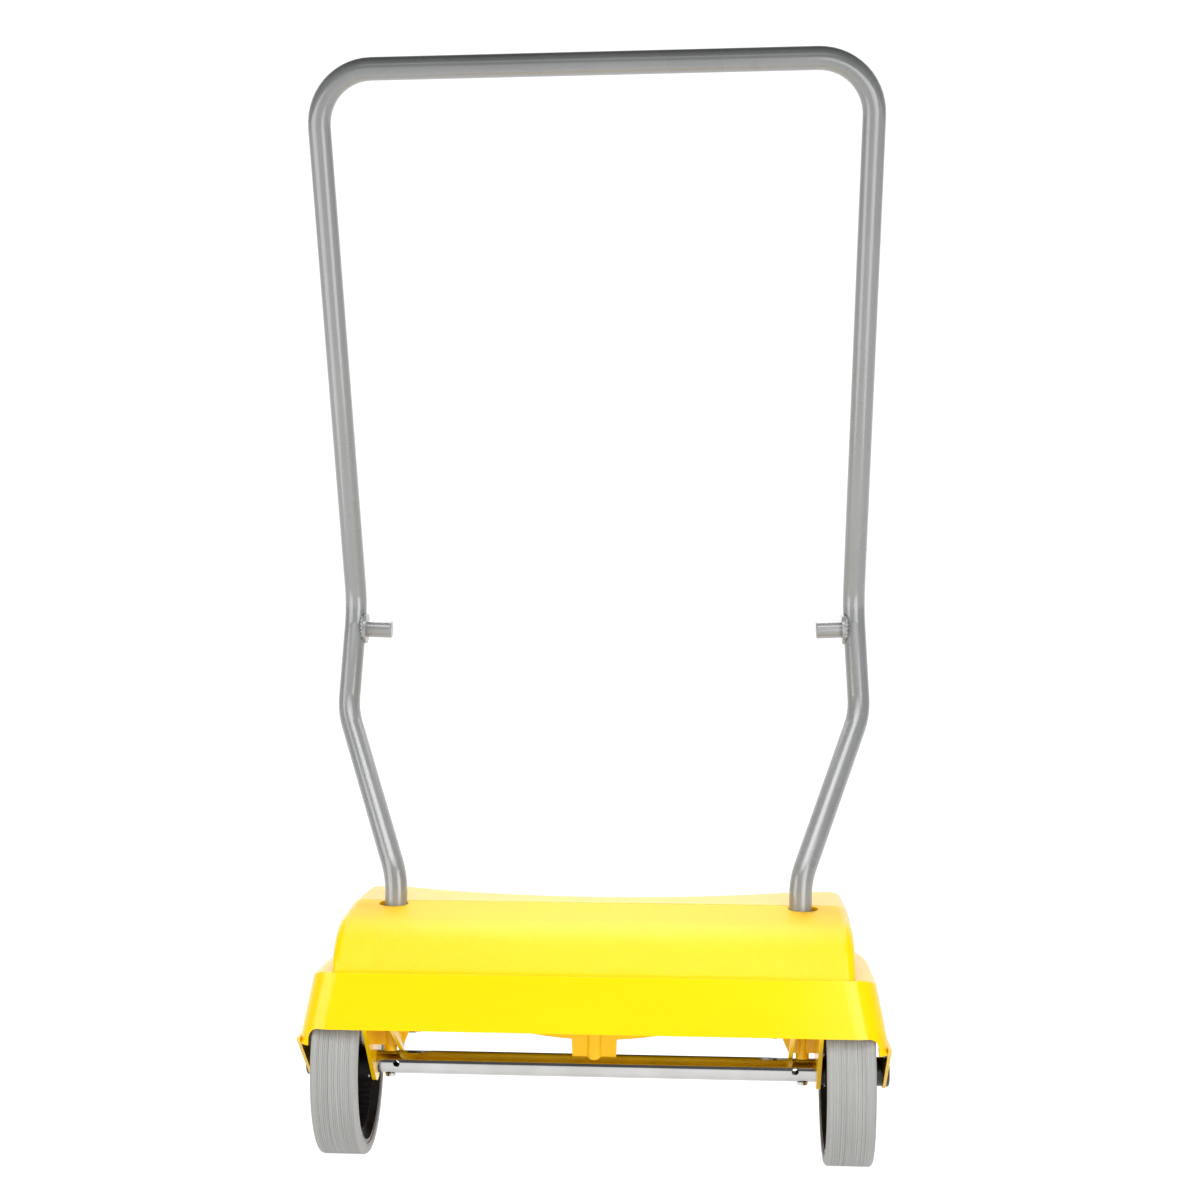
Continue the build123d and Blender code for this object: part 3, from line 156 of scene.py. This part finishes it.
make_camera()
make_world()
softbox("softbox_right", (0.52, -0.84, 0.47), (-0.05, -0.17, 0.36), 0.62, 0.90, 1.95, 120.0)
softbox("softbox_left", (-0.95, -0.62, 0.47), (-0.10, -0.05, 0.36), 0.75, 0.90, 1.35, 120.0)
softbox("softbox_deck", (0, -0.66, 1.12), (0, -0.10, 0.20), 1.3, 0.5, 1.05, 75.0)
softbox("softbox_top", (0, 0.36, 0.96), (0, 0.0, 0.20), 0.9, 0.5, 1.9, 110.0)
bpy.context.scene.view_settings.view_transform = "Standard"


# ---- small node helpers for the materials
class Surface:
    """A material whose pattern nodes all read the piece's own coordinates."""

    def __init__(self, name):
        self.material = bpy.data.materials.new(name)
        self.material.use_nodes = True
        self.tree = self.material.node_tree
        self.shader = self.tree.nodes["Principled BSDF"]
        coords = self.tree.nodes.new("ShaderNodeTexCoord")
        self.coords = coords.outputs["Object"]

    def node(self, kind, **settings):
        made = self.tree.nodes.new("ShaderNode" + kind)
        for key, value in settings.items():
            setattr(made, key, value)
        return made

    def link(self, source, target):
        self.tree.links.new(source, target)

    def stretched(self, scale):
        mapping = self.node("Mapping")
        mapping.inputs["Scale"].default_value = scale
        self.link(self.coords, mapping.inputs["Vector"])
        return mapping.outputs[0]

    def noise(self, scale, detail=3.0, rough=0.5, stretch=None):
        made = self.node("TexNoise")
        made.inputs["Scale"].default_value = scale
        made.inputs["Detail"].default_value = detail
        made.inputs["Roughness"].default_value = rough
        self.link(self.stretched(stretch) if stretch else self.coords, made.inputs["Vector"])
        return made.outputs["Fac"]

    def cells(self, scale):
        made = self.node("TexVoronoi")
        made.inputs["Scale"].default_value = scale
        self.link(self.coords, made.inputs["Vector"])
        return made.outputs["Distance"]

    def band(self, value, low, high, start=0.0, end=1.0):
        made = self.node("MapRange")
        made.inputs["From Min"].default_value = low
        made.inputs["From Max"].default_value = high
        made.inputs["To Min"].default_value = start
        made.inputs["To Max"].default_value = end
        self.link(value, made.inputs["Value"])
        return made.outputs[0]

    def maths(self, operation, first, second):
        made = self.node("Math", operation=operation)
        for socket, value in zip(made.inputs, (first, second)):
            if isinstance(value, (int, float)):
                socket.default_value = value
            else:
                self.link(value, socket)
        return made.outputs[0]

    def mixed(self, fac, first, second):
        """Colours, or outputs of other mixes, blended by a pattern."""
        made = self.node("Mix", data_type="RGBA")
        self.link(fac, made.inputs[0])
        for socket, value in zip(made.inputs[6:8], (first, second)):
            if isinstance(value, tuple):
                socket.default_value = (*value, 1)
            else:
                self.link(value, socket)
        return made.outputs[2]

    def colour(self, output):
        self.link(output, self.shader.inputs["Base Color"])

    def roughness(self, pattern, low, high, from_low=0.3, from_high=0.7):
        self.link(self.band(pattern, from_low, from_high, low, high),
                  self.shader.inputs["Roughness"])

    def bumps(self, *layers):
        """Each layer is (height pattern, depth in metres)."""
        previous = None
        for height, depth in layers:
            made = self.node("Bump")
            made.inputs["Strength"].default_value = 1.0
            made.inputs["Distance"].default_value = depth
            self.link(height, made.inputs["Height"])
            if previous is not None:
                self.link(previous, made.inputs["Normal"])
            previous = made.outputs[0]
        self.link(previous, self.shader.inputs["Normal"])

    def fixed(self, **sockets):
        for key, value in sockets.items():
            self.shader.inputs[key.replace("_", " ")].default_value = value


def yellow_moulding():
    """Glossy moulded yellow with a fine matt grain, from the skirt up to the deck groove."""
    made = Surface("yellow_moulding")
    where = made.node("SeparateXYZ")
    made.link(made.coords, where.inputs[0])
    aside = made.maths("ABSOLUTE", where.outputs["X"], 0.0)
    within = made.band(aside, GRAIN_HALF_WIDTH, GRAIN_HALF_WIDTH + 0.004, 1.0, 0.0)
    above = made.band(where.outputs["Z"], GRAIN_BOTTOM, GRAIN_BOTTOM + 0.003)
    before = made.band(where.outputs["Y"], GRAIN_END, GRAIN_END + 0.002, 1.0, 0.0)
    mask = made.maths("MULTIPLY", made.maths("MULTIPLY", within, above), before)
    grain = made.band(made.cells(1 / GRAIN_PITCH), 0.0, 0.7, 1.0, 0.0)
    ripple = made.noise(9.0, 2.0)
    flow = made.noise(3.0, 4.0, stretch=(1.0, 2.0, 5.0))
    fine = made.noise(260.0, 3.0)
    plain = made.mixed(made.band(flow, 0.3, 0.7), (0.92, 0.54, 0.0), (0.95, 0.58, 0.0))
    speck = made.band(made.noise(900.0, 1.0), 0.72, 0.80)
    made.colour(made.mixed(made.maths("MULTIPLY", speck, 0.35), plain, (0.78, 0.46, 0.005)))
    smooth = made.band(fine, 0.3, 0.7, 0.16, 0.24)
    rough = made.band(fine, 0.3, 0.7, 0.38, 0.48)
    blend = made.node("Mix", data_type="FLOAT")
    made.link(mask, blend.inputs[0])
    made.link(smooth, blend.inputs[2])
    made.link(rough, blend.inputs[3])
    made.link(blend.outputs[0], made.shader.inputs["Roughness"])
    made.bumps((ripple, 0.0006), (made.maths("MULTIPLY", grain, mask), 0.00022), (fine, 0.000012))
    made.fixed(IOR=1.45, Specular_IOR_Level=0.4)
    return made.material


def painted(name, low, high, rough=(0.24, 0.34), peel=0.00005):
    """Powder coat with slight orange peel and a few dull rubbed patches."""
    made = Surface(name)
    patches = made.noise(14.0, 4.0)
    peel_pattern = made.noise(420.0, 2.0)
    nicks = made.band(made.noise(75.0, 5.0, 0.7), 0.70, 0.74)
    body = made.mixed(made.band(patches, 0.3, 0.7), low, high)
    worn = tuple(0.72 * c for c in low)
    made.colour(made.mixed(made.maths("MULTIPLY", nicks, 0.5), body, worn))
    made.roughness(patches, *rough)
    made.bumps((peel_pattern, peel), (nicks, -0.00003))
    made.fixed(Coat_Weight=0.6, Coat_Roughness=0.12, Coat_IOR=1.75)
    return made.material


def metal(name, low, high, rough, stretch, depth=0.000008, spots=0.0):
    """Bare or plated metal with drawn lines along one direction."""
    made = Surface(name)
    lines = made.noise(1.0, 4.0, 0.6, stretch=stretch)
    clouds = made.noise(28.0, 4.0)
    body = made.mixed(made.band(clouds, 0.3, 0.7), low, high)
    if spots:
        pits = made.band(made.noise(330.0, 2.0), 0.74, 0.77)
        body = made.mixed(made.maths("MULTIPLY", pits, spots), body, (0.25, 0.23, 0.21))
    made.colour(body)
    made.roughness(lines, *rough)
    made.bumps((lines, depth))
    made.fixed(Metallic=1.0)
    return made.material


def plastic(name, low, high, rough, grain=0.0009, depth=0.00004):
    """Moulded plastic with a fine spark-eroded texture."""
    made = Surface(name)
    flow = made.noise(11.0, 4.0, stretch=(1.0, 2.5, 1.0))
    texture = made.cells(1 / grain)
    scuffs = made.band(made.noise(60.0, 6.0, 0.75, stretch=(1.0, 6.0, 1.0)), 0.64, 0.72)
    body = made.mixed(made.band(flow, 0.3, 0.7), low, high)
    pale = tuple(min(1.0, c * 1.5 + 0.015) for c in high)
    made.colour(made.mixed(made.maths("MULTIPLY", scuffs, 0.4), body, pale))
    made.roughness(flow, *rough)
    made.bumps((texture, depth), (scuffs, -0.00002))
    return made.material


def tyre_rubber():
    """Light grey rubber with fine streaks round the tread and a little dust."""
    made = Surface("tyre_rubber")
    streaks = made.noise(1.0, 3.0, 0.6, stretch=(620.0, 5.0, 5.0))
    broad = made.noise(1.0, 2.0, stretch=(150.0, 3.0, 3.0))
    dust = made.noise(45.0, 5.0, 0.65)
    body = made.mixed(made.band(streaks, 0.3, 0.7), (0.25, 0.25, 0.242), (0.37, 0.37, 0.36))
    body = made.mixed(made.band(broad, 0.35, 0.65, 0.0, 0.45), body, (0.32, 0.317, 0.30))
    made.colour(made.mixed(made.band(dust, 0.55, 0.75, 0.0, 0.35), body, (0.285, 0.275, 0.25)))
    made.roughness(streaks, 0.55, 0.75)
    made.bumps((streaks, 0.00006), (dust, 0.00003))
    made.fixed(Specular_IOR_Level=0.35)
    return made.material


def bristle():
    """Dark nylon, varied from tuft to tuft and along each bristle."""
    made = Surface("bristle")
    tufts = made.noise(130.0, 2.0)
    body = made.mixed(made.band(tufts, 0.3, 0.7), (0.012, 0.012, 0.014), (0.05, 0.05, 0.055))
    made.colour(body)
    made.roughness(tufts, 0.3, 0.5)
    made.bumps((made.noise(2500.0, 1.0), 0.00002))
    return made.material


def belt_rubber():
    """Black rubber over a woven fabric back."""
    made = Surface("belt_rubber")
    weave = made.node("TexWave", bands_direction="X")
    weave.inputs["Scale"].default_value = 260.0
    weave.inputs["Distortion"].default_value = 1.5
    made.link(made.coords, weave.inputs["Vector"])
    dust = made.noise(90.0, 4.0)
    made.colour(made.mixed(made.band(dust, 0.35, 0.7), (0.012, 0.012, 0.012), (0.045, 0.043, 0.04)))
    made.roughness(dust, 0.55, 0.8)
    made.bumps((weave.outputs["Fac"], 0.00006), (dust, 0.00002))
    return made.material


def white_floor():
    made = Surface("floor")
    clouds = made.noise(2.0, 3.0)
    made.colour(made.mixed(clouds, (0.24, 0.24, 0.24), (0.27, 0.27, 0.27)))
    made.roughness(clouds, 0.5, 0.6)
    made.fixed(Emission_Color=(1, 1, 1, 1), Emission_Strength=0.95)
    return made.material


# ---- materials on the CAD nodes
MATERIALS = {
    "yellow_moulding": yellow_moulding(),
    "painted_tube": painted("painted_tube", (0.20, 0.205, 0.205), (0.225, 0.23, 0.23)),
    "weld": painted("weld", (0.26, 0.26, 0.26), (0.33, 0.33, 0.33), (0.18, 0.3), 0.00012),
    "plated_axle": metal("plated_axle", (0.50, 0.50, 0.49), (0.58, 0.58, 0.59), (0.05, 0.13),
                         (6.0, 500.0, 500.0), depth=0.000006, spots=0.35),
    "zinc_fastener": metal("zinc_fastener", (0.55, 0.55, 0.54), (0.72, 0.72, 0.73), (0.22, 0.4),
                           (300.0, 300.0, 300.0), depth=0.00001, spots=0.3),
    "tyre_rubber": tyre_rubber(),
    "black_plastic": plastic("black_plastic", (0.012, 0.011, 0.011), (0.022, 0.020, 0.020),
                             (0.22, 0.36)),
    "bearing_plastic": plastic("bearing_plastic", (0.60, 0.57, 0.50), (0.70, 0.67, 0.60),
                               (0.35, 0.5)),
    "arm_steel": painted("arm_steel", (0.030, 0.031, 0.033), (0.045, 0.046, 0.048),
                         (0.3, 0.45)),
    "spring_steel": metal("spring_steel", (0.36, 0.35, 0.34), (0.5, 0.5, 0.5), (0.25, 0.42),
                          (40.0, 700.0, 700.0), spots=0.5),
    "belt_rubber": belt_rubber(),
    "bristle": bristle(),
}


def finish_cad_nodes():
    """Every CAD node takes the material of its slot in the record."""
    for row in frame["record"]["subparts"]:
        mesh = nodes[row["node"]].data
        mesh.materials.clear()
        mesh.materials.append(MATERIALS[row["material_slot"]])


finish_cad_nodes()


# ---- pieces that replace plain CAD solids
def make_piece(name, verts, faces, body, slot, *replaced, smooth_angle=35.0):
    mesh = bpy.data.meshes.new(name)
    mesh.from_pydata(verts, [], faces)
    mesh.validate()
    mesh.materials.append(MATERIALS[slot])
    piece = bpy.data.objects.new(name, mesh)
    bpy.context.scene.collection.objects.link(piece)
    mesh.shade_smooth()
    mesh.set_sharp_from_angle(angle=math.radians(smooth_angle))
    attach(piece, body)
    if replaced:
        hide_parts(*replaced)
    return piece


def ring_faces(around, across):
    """Faces that close a grid of points into a ring."""
    faces = []
    for i in range(around):
        after = (i + 1) % around
        for k in range(across):
            k_next = (k + 1) % across
            faces.append((i * across + k, i * across + k_next,
                          after * across + k_next, after * across + k))
    return faces


def turned(profile, centre_y, centre_z, steps):
    """Closed (x, radius) profile turned about a line along X."""
    verts = []
    for i in range(steps):
        angle = 2 * math.pi * i / steps
        for x, radius in profile:
            verts.append((x, centre_y + radius * math.cos(angle),
                          centre_z + radius * math.sin(angle)))
    return verts, ring_faces(steps, len(profile))


def outward(piece):
    """Make every face look out of its closed mesh."""
    working = bmesh.new()
    working.from_mesh(piece.data)
    bmesh.ops.recalc_face_normals(working, faces=working.faces)
    working.to_mesh(piece.data)
    working.free()


def round_shoulder(x, radius, size, turn, steps=6):
    """Points round a quarter circle from the side face to the tread."""
    points = []
    for i in range(steps + 1):
        a = math.radians(90 * i / steps)
        points.append((x + turn * size * (1 - math.cos(a)), radius - size * (1 - math.sin(a))))
    return points


def tread(low_x, high_x, radius, pitch, depth):
    """Fine uneven grooves round the tread, from low_x to high_x."""
    points = []
    x = low_x
    while x + 1.6 * pitch < high_x:
        land = pitch * random.uniform(0.45, 1.15)
        cut = depth * random.uniform(0.4, 1.0)
        lift = -0.15 * depth * random.random()
        points += [(x, radius + lift), (x + land, radius + lift),
                   (x + land + 0.12 * pitch, radius - cut),
                   (x + land + 0.30 * pitch, radius - cut)]
        x += land + 0.42 * pitch
    return points


def tyre_profile(low_x, high_x, radius, inner_radius, shoulder, pitch, depth):
    left = round_shoulder(low_x, radius, shoulder, 1)
    right = round_shoulder(high_x, radius, shoulder, -1)[::-1]
    lands = tread(low_x + shoulder, high_x - shoulder, radius, pitch, depth)
    wall = radius - shoulder
    bead = inner_radius + 0.25 * (wall - inner_radius)
    dish = 0.0006 if wall - inner_radius > 0.004 else 0.0
    left_wall = [(low_x + dish, inner_radius), (low_x + dish, bead), (low_x, bead + dish)]
    right_wall = [(high_x, bead + dish), (high_x - dish, bead), (high_x - dish, inner_radius)]
    return left_wall + left + lands + right + right_wall


def make_tyres():
    for side in SIDES:
        low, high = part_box("tyre_" + side)
        radius = (high.z - low.z) / 2
        middle = (low + high) / 2
        profile = tyre_profile(low.x, high.x, radius, radius - TYRE_WALL, TYRE_SHOULDER,
                               *TYRE_GROOVE)
        verts, faces = turned(profile, middle.y, middle.z, TYRE_STEPS)
        piece = make_piece("grooved_tyre_" + side, verts, faces, "wheel_" + side,
                           "tyre_rubber", "tyre_" + side, smooth_angle=40.0)
        outward(piece)


def make_roller_treads():
    for side in SIDES:
        low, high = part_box("roller_tread_" + side)
        radius = (high.z - low.z) / 2
        middle = (low + high) / 2
        profile = tyre_profile(low.x, high.x, radius, radius - ROLLER_TREAD,
                               ROLLER_SHOULDER, *ROLLER_GROOVE)
        verts, faces = turned(profile, middle.y, middle.z, ROLLER_STEPS)
        piece = make_piece("grooved_roller_tread_" + side, verts, faces, "roller_" + side,
                           "tyre_rubber", "roller_tread_" + side, smooth_angle=40.0)
        outward(piece)


def make_welds():
    """Rippled fillet welds between each flange and the handle, square to the leaning leg."""
    for side, sign in (("left", -1), ("right", 1)):
        low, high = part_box("peg_flange_" + side)
        middle = (low + high) / 2
        half = FLANGE_THICKNESS / 2
        out = Vector((sign * math.cos(PEG_TILT), 0, -math.sin(PEG_TILT)))
        up = Vector((sign * math.sin(PEG_TILT), 0, math.cos(PEG_TILT)))
        verts = []
        for i in range(WELD_AROUND):
            angle = 2 * math.pi * i / WELD_AROUND
            beads = abs(math.sin(8.5 * angle + 0.6))
            size = WELD_SIZE * (0.72 + 0.38 * beads + random.uniform(-0.05, 0.05))
            lift = 0.0006 * math.sin(3 * angle + 1.0)
            for k in range(WELD_ACROSS):
                turn = 2 * math.pi * k / WELD_ACROSS
                radius = WELD_RING + lift + size * math.cos(turn)
                reach = half + size * (0.35 + math.sin(turn)) * 0.9
                point = middle + out * reach + up * radius * math.sin(angle)
                point.y += radius * math.cos(angle)
                verts.append(tuple(point))
        faces = ring_faces(WELD_AROUND, WELD_ACROSS)
        piece = make_piece("weld_bead_" + side, verts, faces, "chassis", "weld",
                           "peg_weld_" + side, smooth_angle=60.0)
        outward(piece)


def make_bristles():
    """Six rows of tufts, each tuft a bundle of tapered bristles."""
    low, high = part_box("bristle_rows")
    core_low, core_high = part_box("brush_core")
    centre = (core_low + core_high) / 2
    core = (core_high.z - core_low.z) / 2
    tip = BRUSH_RADIUS - 0.0002
    verts = []
    faces = []
    for row in range(BRUSH_ROWS):
        base_angle = math.radians(BRUSH_ROW_START + 360 * row / BRUSH_ROWS)
        for t in range(TUFTS):
            x = low.x + 0.003 + (high.x - low.x - 0.006) * t / (TUFTS - 1)
            for _ in range(BRISTLES_IN_TUFT):
                spread = random.uniform(0, 2 * math.pi)
                out = math.sqrt(random.random())
                foot_x = x + 0.0016 * out * math.cos(spread)
                foot_w = 0.0016 * out * math.sin(spread)
                tip_x = min(max(x + 0.0040 * out * math.cos(spread), low.x), high.x)
                tip_w = 0.0030 * out * math.sin(spread) + random.uniform(-0.0004, 0.0004)
                reach = tip - random.uniform(0, 0.0012)
                add_bristle(verts, faces, centre, base_angle, foot_x, foot_w, core - BRISTLE_SINK,
                            tip_x, tip_w, reach)
    piece = make_piece("bristle_tufts", verts, faces, "brush", "bristle", "bristle_rows",
                       smooth_angle=75.0)
    outward(piece)


def add_bristle(verts, faces, centre, angle, foot_x, foot_w, foot_r, tip_x, tip_w, tip_r):
    """One closed three-sided bristle from the core to the tips' circle."""
    radial = Vector((0, math.cos(angle), math.sin(angle)))
    across = Vector((0, -math.sin(angle), math.cos(angle)))
    start = len(verts)
    for x, w, r, thick in ((foot_x, foot_w, foot_r, 0.00028), (tip_x, tip_w, tip_r, 0.00016)):
        r = math.sqrt(max(r * r - w * w, 0.0))
        middle = centre + radial * r + across * w
        for k in range(3):
            turn = 2 * math.pi * k / 3
            point = middle + across * thick * math.cos(turn)
            point.x = x + thick * math.sin(turn)
            verts.append(tuple(point))
    for k in range(3):
        after = (k + 1) % 3
        faces.append((start + k, start + after, start + 3 + after, start + 3 + k))
    faces.append((start + 2, start + 1, start))
    faces.append((start + 3, start + 4, start + 5))


make_tyres()
make_roller_treads()
make_welds()
make_bristles()

floor_mesh = bpy.data.meshes.new("floor")
corners = [(FLOOR_HALF * x, FLOOR_HALF * y, 0) for x, y in ((-1, -1), (1, -1), (1, 1), (-1, 1))]
floor_mesh.from_pydata(corners, [], [(0, 1, 2, 3)])
floor_mesh.materials.append(white_floor())
floor = bpy.data.objects.new("floor", floor_mesh)
bpy.context.scene.collection.objects.link(floor)
